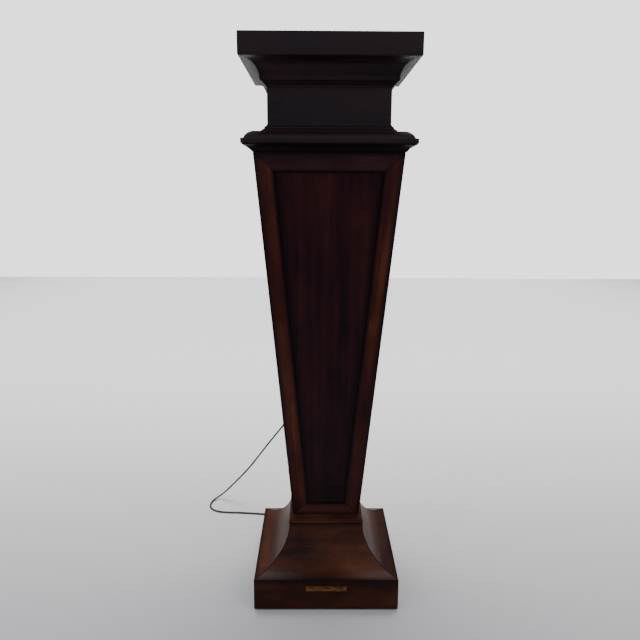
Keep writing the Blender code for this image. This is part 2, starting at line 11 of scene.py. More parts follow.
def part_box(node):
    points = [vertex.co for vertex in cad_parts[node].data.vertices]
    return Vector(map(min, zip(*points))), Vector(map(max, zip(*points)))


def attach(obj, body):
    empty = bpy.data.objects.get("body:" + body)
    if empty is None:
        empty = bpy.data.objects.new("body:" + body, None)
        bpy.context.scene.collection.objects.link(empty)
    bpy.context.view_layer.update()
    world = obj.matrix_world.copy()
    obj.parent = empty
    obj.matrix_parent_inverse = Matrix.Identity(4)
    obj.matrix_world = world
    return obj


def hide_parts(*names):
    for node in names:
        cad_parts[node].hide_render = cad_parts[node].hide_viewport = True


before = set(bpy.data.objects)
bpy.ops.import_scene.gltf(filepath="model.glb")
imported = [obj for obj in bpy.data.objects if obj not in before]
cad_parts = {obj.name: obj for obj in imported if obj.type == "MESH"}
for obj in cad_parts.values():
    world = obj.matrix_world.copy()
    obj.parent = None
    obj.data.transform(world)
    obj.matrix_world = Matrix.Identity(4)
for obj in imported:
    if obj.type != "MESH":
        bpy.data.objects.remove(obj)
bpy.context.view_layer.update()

SIDES = ("front", "right", "back", "left")
CORNERS = ("front_left", "front_right", "back_right", "back_left")
CORNER_SIGNS = ((-1, -1), (1, -1), (1, 1), (-1, 1))
HALF_GAP = 0.00015  # half the space between two CAD pieces
HAIRLINE = 0.00018  # how far a finished face stands back from where the pieces touch
SMOOTH_ANGLE = math.radians(32)
ARRIS = 0.0009


def new_object(name, data):
    made = bpy.data.objects.new(name, data)
    bpy.context.scene.collection.objects.link(made)
    return made


# Camera, light and floor


def make_camera():
    """Stands in front, between the plinth's middle and its top, and looks slightly down."""
    data = bpy.data.cameras.new("Camera")
    data.lens = 34.85
    data.sensor_width = 36.0
    camera = new_object("Camera", data)
    heading = Matrix.Rotation(math.radians(-0.425), 4, "Z")
    pitch = Matrix.Rotation(math.radians(-11.645), 4, "X")
    roll = Matrix.Rotation(math.radians(-0.282), 4, "Y")
    upright = Matrix.Rotation(math.radians(90), 4, "X")
    place = Matrix.Translation((-0.0241, -1.2996, 0.8584))
    camera.matrix_world = place @ heading @ pitch @ roll @ upright
    bpy.context.scene.camera = camera


def make_world():
    """A pale backdrop for the camera, the same on every side.

    As a light it is dimmer and cool, and strongest from high in front.
    """
    world = bpy.data.worlds.new("Studio")
    world.use_nodes = True
    bpy.context.scene.world = world
    nodes, links = world.node_tree.nodes, world.node_tree.links
    nodes.clear()
    kinds = "TexCoord SeparateXYZ Math Background Background LightPath MixShader OutputWorld".split()
    made = [nodes.new("ShaderNode" + kind) for kind in kinds]
    direction, split, strength, light, backdrop, rays, mix, output = made
    strength.operation = "MULTIPLY"
    light.inputs["Color"].default_value = (0.84, 0.83, 1.0, 1.0)
    backdrop.inputs["Strength"].default_value = 2.6
    links.new(direction.outputs["Generated"], split.inputs[0])
    fades = (("Y", -0.6, 0.3, 1.0, 0.32), ("Z", -0.3, 0.22, 0.03, 0.62))
    for here, (axis, *limits) in enumerate(fades):
        fade = nodes.new("ShaderNodeMapRange")
        fade.interpolation_type = "SMOOTHSTEP"
        for name, value in zip(("From Min", "From Max", "To Min", "To Max"), limits):
            fade.inputs[name].default_value = value
        links.new(split.outputs[axis], fade.inputs["Value"])
        links.new(fade.outputs["Result"], strength.inputs[here])
    links.new(strength.outputs[0], light.inputs["Strength"])
    links.new(rays.outputs["Is Camera Ray"], mix.inputs[0])
    links.new(light.outputs[0], mix.inputs[1])
    links.new(backdrop.outputs[0], mix.inputs[2])
    links.new(mix.outputs[0], output.inputs["Surface"])


def add_area_light(name, place, aim, size, power, colour=(1.0, 1.0, 1.0), spread=180):
    """A lamp aimed at a point. A spread under 180 degrees gathers its light, as a grid does."""
    data = bpy.data.lights.new(name, "AREA")
    data.shape = "RECTANGLE"
    data.size, data.size_y = size
    data.energy = power
    data.color = colour
    data.spread = math.radians(spread)
    light = new_object(name, data)
    light.location = place
    light.rotation_mode = "QUATERNION"
    light.rotation_quaternion = (Vector(aim) - Vector(place)).to_track_quat("-Z", "Y")


def make_lights():
    """A large gridded lamp overhead and behind, and two weak ones high at either side of the camera."""
    add_area_light("Overhead", (0.0, 3.3, 3.2), (0.0, 3.3, 0.0), (7.0, 6.0), 250.0, spread=60)
    add_area_light("Key", (1.7, -1.4, 2.4), (0.0, 0.0, 0.6), (1.4, 1.4), 12.0, (1.0, 0.9, 0.8))
    add_area_light("Fill", (-1.9, -1.2, 2.1), (0.0, 0.0, 0.5), (1.6, 1.6), 7.0, (0.92, 0.96, 1.0))


def make_floor():
    """A pale floor, a hair under the glides, that reaches further behind than in front."""
    bm = bmesh.new()
    bmesh.ops.create_grid(bm, x_segments=8, y_segments=8, size=4.0)
    bmesh.ops.translate(bm, vec=(0.0, 1.0, 0.0), verts=bm.verts)
    mesh = bpy.data.meshes.new("floor")
    bm.to_mesh(mesh)
    bm.free()
    floor = new_object("floor", mesh)
    floor.location.z = -0.0001
    material = bpy.data.materials.new("Pale floor")
    material.use_nodes = True
    shader = material.node_tree.nodes["Principled BSDF"]
    shader.inputs["Base Color"].default_value = (0.76, 0.76, 0.75, 1.0)
    shader.inputs["Roughness"].default_value = 0.6
    mesh.materials.append(material)


# Shader nodes


class Graph:
    """A short way to write a material's nodes."""

    def __init__(self, name):
        self.material = bpy.data.materials.new(name)
        self.material.use_nodes = True
        self.tree = self.material.node_tree
        self.shader = self.tree.nodes["Principled BSDF"]

    def node(self, kind, *sources, **settings):
        made = self.tree.nodes.new("ShaderNode" + kind)
        for key, value in settings.items():
            setattr(made, key, value)
        for socket, source in zip(made.inputs, sources):
            self.feed(socket, source)
        return made

    def feed(self, socket, source):
        """Link an output, or set a constant. None leaves the socket as it is."""
        if source is None:
            return
        if hasattr(source, "is_output"):
            self.tree.links.new(source, socket)
        elif isinstance(source, tuple) and len(socket.default_value) == 4:
            socket.default_value = (*source, 1.0)
        else:
            socket.default_value = source

    def math(self, operation, first, second, third=None):
        return self.node("Math", first, second, third, operation=operation).outputs[0]

    def mul_add(self, value, factor, rest):
        return self.math("MULTIPLY_ADD", value, factor, rest)

    def attribute(self, name):
        return self.node("Attribute", attribute_name=name).outputs["Vector"]

    def object_space(self):
        return self.node("TexCoord").outputs["Object"]

    def noise(self, place, scale, detail=2.0, roughness=0.5, distortion=0.0):
        """Noise with one scale for all three axes, or one for each."""
        scales = scale if isinstance(scale, tuple) else (scale,) * 3
        scaled = self.node("VectorMath", place, scales, operation="MULTIPLY")
        made = self.node("TexNoise")
        self.feed(made.inputs["Vector"], scaled.outputs[0])
        values = (("Scale", 1.0), ("Detail", detail), ("Roughness", roughness), ("Distortion", distortion))
        for name, value in values:
            made.inputs[name].default_value = value
        return made.outputs["Fac"]

    def fade(self, value, start, end, low=0.0, high=1.0):
        """Smooth step from low, at start, to high, at end."""
        made = self.node("MapRange", interpolation_type="SMOOTHSTEP")
        names = ("Value", "From Min", "From Max", "To Min", "To Max")
        for name, source in zip(names, (value, start, end, low, high)):
            self.feed(made.inputs[name], source)
        return made.outputs["Result"]

    def mix(self, amount, first, second):
        made = self.node("Mix", data_type="RGBA")
        self.feed(made.inputs["Factor"], amount)
        self.feed(made.inputs[6], first)
        self.feed(made.inputs[7], second)
        return made.outputs[2]

    def finished(self, colour, roughness, height, strength, distance, **values):
        """The material. values are constants for other sockets, with _ for a space in a socket's name."""
        bump = self.node("Bump")
        bump.inputs["Strength"].default_value = strength
        bump.inputs["Distance"].default_value = distance
        self.feed(bump.inputs["Height"], height)
        inputs = self.shader.inputs
        self.feed(inputs["Base Color"], colour)
        self.feed(inputs["Roughness"], roughness)
        self.feed(inputs["Normal"], bump.outputs["Normal"])
        for name, value in values.items():
            inputs[name.replace("_", " ")].default_value = value
        return self.material


# The colour that edges darken to: stain rubbed into them, and painted shade.
EDGE_STAIN_AND_SHADE = (0.0045, 0.0028, 0.0034)
PORE_STAIN = (0.004, 0.002, 0.002)


def wood_material(name, deep, body, glow, reach, figure, clouds, coat, specular):
    """Stained and polished mahogany.

    deep, body and glow are the dark, middle and light tones of the stain. reach is how far the darkening of
    the edges comes in, in metres, and how strong it is, for each distance in the "edges" attribute. The
    darkening is partly stain rubbed into the edges and partly painted shade in recesses, under mouldings and
    at joints.
    figure and clouds are how much the veins and the rubbed patches show.
    """
    g = Graph(name)
    grain = g.attribute("grain")
    edges = g.node("SeparateXYZ", g.attribute("edges")).outputs

    warp = g.noise(grain, (1.6, 9.0, 9.0), detail=3.0, roughness=0.55)
    veins = g.noise(grain, (1.9, 46.0, 46.0), detail=5.0, roughness=0.62, distortion=0.7)
    fibres = g.noise(grain, (14.0, 620.0, 620.0), detail=3.0, roughness=0.6)
    pores = g.noise(grain, (95.0, 1500.0, 1500.0), detail=1.0)
    mottle = g.noise(grain, (6.5, 11.0, 11.0), detail=4.0, roughness=0.6)

    tone = g.mul_add(warp, 0.3, 0.5 - (figure + clouds + 0.3 + 0.2) / 2)
    for pattern, amount in ((veins, figure), (mottle, clouds), (fibres, 0.2)):
        tone = g.mul_add(pattern, amount, tone)
    stain = g.mix(g.fade(tone, 0.3, 0.52), deep, body)
    stain = g.mix(g.fade(tone, 0.46, 0.76), stain, glow)
    pore = g.fade(pores, 0.6, 0.72)
    stain = g.mix(g.math("MULTIPLY", pore, 0.45), stain, PORE_STAIN)

    # Painted shade, in part: near each edge, as far and as strongly as reach says, the stain darkens. This
    # stands for shade in recesses, under mouldings and along joints, as well as for stain rubbed into the
    # edges.
    dark = 0.0
    ragged = g.mul_add(mottle, 0.9, g.math("MULTIPLY", fibres, 0.25))
    for distance, (width, amount) in zip(edges, reach):
        if amount > 0.0:
            pushed = g.mul_add(g.math("SUBTRACT", ragged, 0.57), -width * 0.9, distance)
            dark = g.math("MAXIMUM", dark, g.fade(pushed, 0.0, width, amount, 0.0))

    rough = g.mul_add(pore, 0.12, g.mul_add(fibres, 0.08, g.mul_add(mottle, 0.16, 0.29)))
    height = g.mul_add(veins, 0.35, g.mul_add(fibres, 0.3, g.math("MULTIPLY", pore, -0.55)))
    return g.finished(
        g.mix(dark, stain, EDGE_STAIN_AND_SHADE), rough, height, 0.22, 0.00022,
        Coat_Weight=coat, Coat_Roughness=0.22, Coat_IOR=1.45, Specular_IOR_Level=specular,
    )


# Mesh tools


def smooth_step(value):
    value = min(1.0, max(0.0, value))
    return value * value * (3.0 - 2.0 * value)


def face_outwards(bm):
    bmesh.ops.recalc_face_normals(bm, faces=bm.faces)
    if bm.calc_volume(signed=True) < 0.0:
        bmesh.ops.reverse_faces(bm, faces=bm.faces)
    bm.normal_update()


def finish_piece(node, bm, material, name=None, body="root", grain=None, edges=None):
    """Make an object in place of a CAD node, write its attributes from its points, and tie it to its body."""
    face_outwards(bm)
    name = name or f"{node}_finish"
    mesh = bpy.data.meshes.new(name)
    bm.to_mesh(mesh)
    bm.free()
    mesh.materials.append(material)
    mesh.shade_smooth()
    mesh.set_sharp_from_angle(angle=SMOOTH_ANGLE)
    for label, rule in (("grain", grain), ("edges", edges)):
        if rule is None:
            continue
        layer = mesh.attributes.new(label, "FLOAT_VECTOR", "POINT")
        values = np.array([rule(point.co) for point in mesh.vertices], dtype=np.float32)
        layer.data.foreach_set("vector", values.ravel())
    piece = new_object(name, mesh)
    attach(piece, body)
    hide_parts(node)
    return piece


def move(bm, matrix):
    bmesh.ops.transform(bm, matrix=matrix, verts=bm.verts)


def shrink(bm):
    """Set every face back by a hairline."""
    face_outwards(bm)
    moves = [vertex.normal * HAIRLINE * vertex.calc_shell_factor() for vertex in bm.verts]
    for vertex, move in zip(bm.verts, moves):
        vertex.co -= move


def arc(centre, radius, start, end, steps):
    points = []
    for step in range(steps + 1):
        angle = math.radians(start + (end - start) * step / steps)
        points.append((centre[0] + radius * math.cos(angle), centre[1] + radius * math.sin(angle)))
    return points


def rounded(outline, steps=4, closed=True):
    """Round the corners of an outline. A corner is (out, height) or (out, height, radius)."""
    count = len(outline)
    result = []
    for here in range(count):
        corner = Vector(outline[here][:2])
        radius = outline[here][2] if len(outline[here]) == 3 else 0.0
        at_end = here in (0, count - 1)
        if radius == 0.0 or (at_end and not closed):
            result.append(tuple(corner))
            continue
        before = Vector(outline[here - 1][:2]) - corner
        after = Vector(outline[(here + 1) % count][:2]) - corner
        half = before.angle(after) / 2
        back = min(radius / math.tan(half), 0.45 * before.length, 0.45 * after.length)
        start = corner + before.normalized() * back
        end = corner + after.normalized() * back
        for step in range(steps + 1):
            t = step / steps
            result.append(tuple(start * (1 - t) ** 2 + corner * 2 * t * (1 - t) + end * t**2))
    return result


def moved(outline, out, up):
    """An outline of small offsets, moved to where the moulding is."""
    return [(out + point[0], up + point[1], *point[2:]) for point in outline]


def turn_to(side):
    return Matrix.Rotation(math.radians(90) * side, 4, "Z")


def join_rings(bm, rings, closed=False):
    """Faces between rings of equal length, and over the first and the last if it isn't closed."""
    pairs = list(zip(rings, rings[1:]))
    if closed:
        pairs.append((rings[-1], rings[0]))
    else:
        bm.faces.new(rings[0])
        bm.faces.new(rings[-1])
    for low, high in pairs:
        for here in range(len(low)):
            after = (here + 1) % len(low)
            bm.faces.new((low[here], low[after], high[after], high[here]))


def mitred_side(node, outline, hidden, side, material, seed):
    """A moulding along one side, mitred at both ends, in place of a CAD node.

    The outline runs down its visible face, and its last points, as many as hidden says, are out of sight.
    Its "grain" runs along it and then around its profile. Its "edges" are the distances from the start and
    the end of the visible face, and from the nearer mitre.
    """
    lengths = [0.0]
    for (x0, z0), (x1, z1) in zip(outline, outline[1:]):
        lengths.append(lengths[-1] + math.hypot(x1 - x0, z1 - z0))
    visible = lengths[len(outline) - 1 - hidden]
    bm = bmesh.new()
    grain_layer = bm.verts.layers.float_vector.new("grain")
    edge_layer = bm.verts.layers.float_vector.new("edges")
    rows = []
    stations = 7
    for station in range(stations):
        share = -1.0 + 2.0 * station / (stations - 1)
        row = []
        for (out, height), along in zip(outline, lengths):
            vertex = bm.verts.new((share * out, -out, height))
            vertex[grain_layer] = (share * out + seed * 1.7, along + seed * 0.37, seed * 0.61)
            vertex[edge_layer] = (along, abs(visible - along), out * (1.0 - abs(share)))
            row.append(vertex)
        rows.append(row)
    join_rings(bm, rows)
    shrink(bm)
    move(bm, turn_to(side))
    finish_piece(node, bm, material)


def four_sides(stem, outline, hidden, material, seed):
    for side, name in enumerate(SIDES):
        mitred_side(f"{stem}_{name}", outline, hidden, side, material, seed + side * 0.83)


def moulded_board(node, outline, material, seed, hole=0.0):
    """A square board with moulded edges. The outline runs upwards, and hole is a radius."""
    per_side = 6
    bm = bmesh.new()

    def square(half, height):
        ring = []
        for side in range(4):
            for station in range(per_side):
                across = -half + 2 * half * station / per_side
                ring.append(bm.verts.new(turn_to(side) @ Vector((across, -half, height))))
        return ring

    def circle(radius, height):
        ring = []
        for step in range(4 * per_side):
            angle = math.radians(225) + math.tau * step / (4 * per_side)
            ring.append(bm.verts.new((radius * math.cos(angle), radius * math.sin(angle), height)))
        return ring

    bottom, top = outline[0][1], outline[-1][1]
    rings = [square(half, height) for half, height in outline]
    if hole:
        rings = [circle(hole, bottom)] + rings + [circle(hole, top)]
    join_rings(bm, rings, closed=bool(hole))
    shrink(bm)

    def grain(point):
        return (point.x + seed, point.y + 0.4 * point.z, point.z + seed * 0.7)

    def edges(point):
        return (top - point.z, point.z - bottom, 1.0)

    finish_piece(node, bm, material, grain=grain, edges=edges)


def convex_piece(node, points, material, grain, edges):
    """A flat-sided piece of the column's frame, with softened edges."""
    bm = bmesh.new()
    for point in points:
        bm.verts.new(point)
    bmesh.ops.convex_hull(bm, input=bm.verts)
    bmesh.ops.dissolve_limit(bm, angle_limit=math.radians(0.5), verts=bm.verts, edges=bm.edges)
    shrink(bm)
    bmesh.ops.bevel(bm, geom=bm.edges, offset=ARRIS, segments=3, profile=0.5, affect="EDGES")
    finish_piece(node, bm, material, grain=grain, edges=edges)


def turned(outline, place, segments=64):
    """A closed outline of (radius, height) pairs turned around its own axis."""
    bm = bmesh.new()
    columns = []
    for radius, height in outline:
        if radius == 0.0:
            columns.append([bm.verts.new((0.0, 0.0, height))])
            continue
        angles = [math.tau * step / segments for step in range(segments)]
        columns.append([bm.verts.new((radius * math.cos(a), radius * math.sin(a), height)) for a in angles])
    for low, high in zip(columns, columns[1:] + columns[:1]):
        if len(low) == 1 and len(high) == 1:
            continue
        for step in range(segments):
            after = (step + 1) % segments
            corners = [low[step % len(low)], low[after % len(low)]]
            corners += [high[after % len(high)], high[step % len(high)]]
            bm.faces.new(list(dict.fromkeys(corners)))
    move(bm, place)
    return bm


def soft_rectangle(wide, deep, radius, steps=5):
    """The corners of a rectangle, rounded, as (x, y) pairs. wide and deep are half sizes."""
    points = []
    for start, (right, back) in zip((0, 90, 180, 270), ((1, 1), (-1, 1), (-1, -1), (1, -1))):
        points += arc((right * (wide - radius), back * (deep - radius)), radius, start, start + 90, steps)
    return points


def lofted(sections, place):
    """A body through rounded rectangles, each (half width, half depth, corner radius, height)."""
    bm = bmesh.new()
    rings = []
    for wide, deep, radius, height in sections:
        rings.append([bm.verts.new((x, y, height)) for x, y in soft_rectangle(wide, deep, radius)])
    join_rings(bm, rings)
    move(bm, place)
    return bm


def cut_away(bm, cutters):
    """The bmesh with these bmeshes taken out of it. All of them are used up."""
    made = []
    for shape in [bm] + cutters:
        face_outwards(shape)
        mesh = bpy.data.meshes.new("cutting")
        shape.to_mesh(mesh)
        shape.free()
        made.append(new_object("cutting", mesh))
    for cutter in made[1:]:
        modifier = made[0].modifiers.new("Cut", "BOOLEAN")
        modifier.solver = "EXACT"
        modifier.object = cutter
    result = bmesh.new()
    result.from_object(made[0], bpy.context.evaluated_depsgraph_get())
    for used in made:
        mesh = used.data
        bpy.data.objects.remove(used, do_unlink=True)
        bpy.data.meshes.remove(mesh)
    return result


# Sizes read from the frame


class Size:
    """A node's outer and inner distance from the axis, and its levels, where it touches its neighbours."""

    def __init__(self, node):
        low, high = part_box(node)
        self.half = -low.y + HALF_GAP
        self.inside = -high.y - HALF_GAP
        self.low = low.z - HALF_GAP
        self.high = high.z + HALF_GAP


SLAB = Size("slab_board_front")
TOP_COVE = Size("top_cove_front")
NECK = Size("neck_board_front")
CAPITAL = Size("capital_board")
BED = Size("bed_moulding_front")
TOP_RAIL = Size("top_rail_front")
BOTTOM_RAIL = Size("bottom_rail_front")
FOOT = Size("foot_plate")
BASE_COVE = Size("base_cove_front")
BLOCK = Size("base_board_front")
PANEL = Size("panel_front")
GLASS = Size("glass_panel")
HOLDER = Size("lamp_holder")

NECK_WALL = GLASS.half + HALF_GAP
COLUMN_SLOPE = (TOP_RAIL.half - BOTTOM_RAIL.half) / (TOP_RAIL.high - BOTTOM_RAIL.high)
COLUMN_LEAN = math.atan(COLUMN_SLOPE)
PANEL_SET_BACK = 0.003
PANEL_THICKNESS = 0.009
COLUMN_ENDS = ((TOP_RAIL.high, PANEL.high), (BOTTOM_RAIL.low, PANEL.low))


def column_half(height):
    return TOP_RAIL.half + COLUMN_SLOPE * (height - TOP_RAIL.high)


FRAME_WIDTH = column_half(PANEL.high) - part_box("panel_front")[1].x - HALF_GAP


def column_point(right, front, across_x, across_y, height):
    half = column_half(height)
    return Vector((right * (half - across_x), front * (half - across_y), height))


def back_face_place(height):
    """A place on the sunk back panel's face: local +Z points straight out of it, local +Y down along it."""
    face = column_half(height) - PANEL_SET_BACK - HALF_GAP
    tilt = Matrix.Rotation(-(math.radians(90) + COLUMN_LEAN), 4, "X")
    return Matrix.Translation((0.0, face, height)) @ tilt


# The lead

LEAD_RADIUS = 0.00225
LEAD_BORE = LEAD_RADIUS + 0.0001
LEAD_OVERLAP = 0.0015
LEAD_EXIT_HEIGHT = 0.447
RELIEF_LENGTH = 0.034
SWITCH_HEIGHT = 0.52
SWITCH_SWING = math.radians(9)
ROCKER_AXIS_DEPTH = 0.0015
COIL_CENTRE = Vector((-0.02, 0.198, 0.0))
COIL_RADIUS = 0.032
COIL_TURNS = 4
COIL_FLOOR = 0.00405
LAYER = 0.0045
TIE_ANGLE = math.radians(205)
PLUG_REAR = Vector((0.0275, 0.23, 0.009))
PLUG_HEADING = math.radians(-8)

LEAD_ROUTE = (
    (0.0000, 0.1400, 0.4430), (-0.0035, 0.1525, 0.4395), (-0.0120, 0.1640, 0.4300),
    (-0.0235, 0.1735, 0.4115), (-0.0400, 0.1850, 0.3810), (-0.0625, 0.2000, 0.3370),
    (-0.0875, 0.2150, 0.2940), (-0.1155, 0.2320, 0.2510), (-0.1530, 0.2580, 0.1945),
    (-0.2035, 0.2900, 0.1175), (-0.2390, 0.3120, 0.0703), (-0.2755, 0.3280, 0.0275),
    (-0.2930, 0.3319, 0.0110), (-0.3070, 0.3239, 0.0042), (-0.3147, 0.3030, 0.0026),
    (-0.3130, 0.2800, 0.0026), (-0.2990, 0.2620, 0.0026), (-0.2750, 0.2530, 0.0026),
    (-0.2400, 0.2500, 0.0026), (-0.2000, 0.2465, 0.0026), (-0.1550, 0.2412, 0.0027),
    (-0.1100, 0.2360, 0.0030), (-0.0720, 0.2329, 0.0037), (-0.0387, 0.2323, 0.0040),
)
TAIL_ROUTE = (
    (-0.0013, 0.2323, 0.0130), (0.0085, 0.2319, 0.0118), (0.0180, 0.2311, 0.0098),
    (0.0272, 0.2300, 0.0090),
)


def smooth_route(points, spacing):
    """Evenly spaced points on the natural cubic spline through a route's points."""
    knots = np.array(points, dtype=float)
    steps = np.linalg.norm(np.diff(knots, axis=0), axis=1)
    count = len(knots)
    matrix = np.eye(count)
    right = np.zeros((count, 3))
    for i in range(1, count - 1):
        matrix[i, i - 1] = steps[i - 1]
        matrix[i, i] = 2 * (steps[i - 1] + steps[i])
        matrix[i, i + 1] = steps[i]
        ahead, behind = knots[i + 1] - knots[i], knots[i] - knots[i - 1]
        right[i] = 6 * (ahead / steps[i] - behind / steps[i - 1])
    bend = np.linalg.solve(matrix, right)
    fine = []
    for i in range(count - 1):
        for part in np.linspace(0.0, 1.0, 24, endpoint=False):
            before, after = part * steps[i], (1 - part) * steps[i]
            point = (bend[i] * after**3 + bend[i + 1] * before**3) / (6 * steps[i])
            point += (knots[i] / steps[i] - bend[i] * steps[i] / 6) * after
            point += (knots[i + 1] / steps[i] - bend[i + 1] * steps[i] / 6) * before
            fine.append(point)
    fine.append(knots[-1])
    fine = np.array(fine)
    travelled = np.concatenate(([0.0], np.cumsum(np.linalg.norm(np.diff(fine, axis=0), axis=1))))
    stations = np.linspace(0.0, travelled[-1], max(2, round(travelled[-1] / spacing) + 1))
    columns = [np.interp(stations, travelled, fine[:, axis]) for axis in range(3)]
    return list(zip(*columns))


def coil_points():
    """Four clockwise turns from the coil's north side, two side by side and two on top of them.

    A strand shifts by one place over 60 degrees, each time a little earlier in the turn, so that the strands
    never meet. The last shift rises to where the lead leaves.
    """
    shifts = ((300, -LAYER, 0.0), (645, 0.0, LAYER), (990, LAYER, 0.0), (1335, 0.0, LAYER))
    points = []
    for degrees in range(0, 360 * COIL_TURNS + 1, 6):
        radius, height = COIL_RADIUS + LAYER / 2, COIL_FLOOR
        for start, outwards, upwards in shifts:
            share = smooth_step((degrees - start) / 60)
            radius += outwards * share
            height += upwards * share
        angle = math.radians(degrees)
        east, north = radius * math.sin(angle), radius * math.cos(angle)
        points.append((COIL_CENTRE.x + east, COIL_CENTRE.y + north, height))
    return points


def make_lead(sheath, strap):
    """One cord from inside the strain relief's tip to inside the plug, and the strap around its coil."""
    into_relief = back_face_place(LEAD_EXIT_HEIGHT) @ Vector((0.0, 0.0, RELIEF_LENGTH - LEAD_OVERLAP))
    into_plug = PLUG_REAR + Matrix.Rotation(PLUG_HEADING, 3, "Z") @ Vector((LEAD_OVERLAP, 0.0, 0.0))
    run = smooth_route((tuple(into_relief),) + LEAD_ROUTE, 0.005)
    tail = smooth_route(TAIL_ROUTE + (tuple(into_plug),), 0.004)
    points = run + coil_points() + tail
    curve = bpy.data.curves.new("lead", "CURVE")
    curve.dimensions = "3D"
    curve.bevel_depth = LEAD_RADIUS
    curve.bevel_resolution = 5
    curve.use_fill_caps = True
    spline = curve.splines.new("POLY")
    spline.points.add(len(points) - 1)
    for knot, point in zip(spline.points, points):
        knot.co = (*point, 1.0)
    spline.use_smooth = True
    curve.materials.append(sheath)
    lead = new_object("lead", curve)
    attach(lead, "root")
    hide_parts("lead_run", "lead_coil", "lead_tail")
    length = sum((Vector(b) - Vector(a)).length for a, b in zip(points, points[1:]))
    return lead, points[0], length, make_tie(strap)


def make_tie(strap):
    """A hook-and-loop strap around the four strands, its end lapped over itself on top."""
    snug, thick, half_width = 0.0001, 0.0011, 0.0025
    wide = LAYER + snug
    middle = COIL_FLOOR + LAYER / 2
    outline = soft_rectangle(wide, wide, LEAD_RADIUS, 6)
    outer = soft_rectangle(wide + thick, wide + thick, LEAD_RADIUS + thick, 6)
    lap = [(x, z + (0.0006 if z > wide else 0.0)) for x, z in outer]
    bm = bmesh.new()
    rings = []
    for ring, side in ((outline, -1), (lap, -1), (lap, 1), (outline, 1)):
        rings.append([bm.verts.new((COIL_RADIUS + x, side * half_width, middle + z)) for x, z in ring])
    join_rings(bm, rings, closed=True)
    face_outwards(bm)
    rims = [edge for edge in bm.edges if edge.calc_face_angle(0.0) > math.radians(60)]
    bmesh.ops.bevel(bm, geom=rims, offset=0.00025, segments=2, profile=0.5, affect="EDGES")
    move(bm, Matrix.Translation(COIL_CENTRE) @ Matrix.Rotation(TIE_ANGLE, 4, "Z"))
    return finish_piece("lead_tie", bm, strap)


def make_plug(moulding, nickel):
    """Flat two-blade plug with a ribbed tail and grip grooves, lying on the floor."""
    level = Matrix.Rotation(math.radians(90), 4, "Y")
    place = Matrix.Translation(PLUG_REAR) @ Matrix.Rotation(PLUG_HEADING, 4, "Z") @ level
    bore = (LEAD_BORE, LEAD_BORE, LEAD_BORE * 0.98)
    sections = [(*bore, 0.0025), (*bore, 0.0001)]
    sections += [(0.003, 0.003, 0.0028, 0.0001), (0.0033, 0.0033, 0.003, 0.0004)]
    for rib in range(4):
        at = 0.0012 + rib * 0.0027
        size = 0.0033 + at * 0.1
        ridge = (size, size + 0.0002, size * 0.85)
        valley = (size - 0.0006, size - 0.0004, size * 0.75)
        sections += [(*ridge, at), (*ridge, at + 0.0011), (*valley, at + 0.0014), (*valley, at + 0.0024)]
    sections += [(0.0046, 0.0052, 0.0036, 0.0124), (0.0056, 0.0076, 0.0032, 0.0158)]
    sections += [(0.0066, 0.009, 0.0028, 0.018)]
    proud, sunk = (0.0067, 0.0091, 0.0026), (0.0064, 0.0086, 0.0026)
    for groove in range(4):
        at = 0.02 + groove * 0.003
        sections += [(*proud, at), (*sunk, at + 0.0004), (*sunk, at + 0.0012), (*proud, at + 0.0016)]
    sections += [(0.0067, 0.0091, 0.0026, 0.0345), (0.0064, 0.0088, 0.0026, 0.036)]
    sections += [(0.0057, 0.0081, 0.0024, 0.0369)]
    pieces = [finish_piece("plug", lofted(sections, place), moulding)]
    blade = [(0.003, 0.0007, 0.0004, 0.0371), (0.003, 0.0007, 0.0004, 0.0522)]
    blade += [(0.0026, 0.0004, 0.0003, 0.0538)]
    for number, offset in enumerate((-0.00635, 0.00635)):
        bm = lofted(blade, place @ Matrix.Translation((0.0, offset, 0.0)))
        pieces.append(finish_piece("plug", bm, nickel, f"plug_blade_{number}"))
    return pieces


# Woodwork


def make_slab(wood):
    corners = [(NECK_WALL, SLAB.high), (SLAB.half, SLAB.high, 0.0018)]
    corners += [(SLAB.half, SLAB.low, 0.003), (NECK_WALL, SLAB.low)]
    four_sides("slab_board", rounded(corners, steps=6), 0, wood, 0.0)


def make_top_coves(wood):
    """Cavetto under the slab, on a fillet, a small cyma and a bead."""
    radius = 0.0305
    hollow = arc((0.0427, 0.0147), radius, 90, 180, 28)
    foot = [
        (0.0122, 0.0147), (0.0122, 0.013, 0.001), (0.0116, 0.0111, 0.0016),
        (0.0098, 0.0095, 0.0012), (0.007, 0.0085, 0.0003), (0.007, 0.007, 0.0003),
        (0.0038, 0.0051, 0.0024), (0.0016, 0.0019, 0.0012), (0.001, 0.0, 0.0002),
        (0.0, 0.0),
    ]
    foot = rounded(foot, closed=False)
    top = SLAB.low - TOP_COVE.low
    outline = moved([(0.0432, top)] + hollow + foot[1:] + [(0.0, top)], NECK_WALL, TOP_COVE.low)
    four_sides("top_cove", outline, 1, wood, 11.0)


def make_neck(wood):
    foot = [
        (0.0, 0.02), (0.0, 0.0138, 0.002), (0.0012, 0.012, 0.001),
        (0.002, 0.0104, 0.0006), (0.0038, 0.0094, 0.0012), (0.005, 0.0078, 0.0012),
        (0.0051, 0.006, 0.0012), (0.0065, 0.0046, 0.0012), (0.0092, 0.0034, 0.001),
        (0.0105, 0.002, 0.0008), (0.0105, 0.0, 0.0002), (-0.016, 0.0),
    ]
    foot = rounded(foot, closed=False)
    outline = [(NECK_WALL, NECK.high)] + moved(foot, NECK_WALL, NECK.low) + [(NECK.inside, NECK.high)]
    four_sides("neck_board", outline, 2, wood, 23.0)


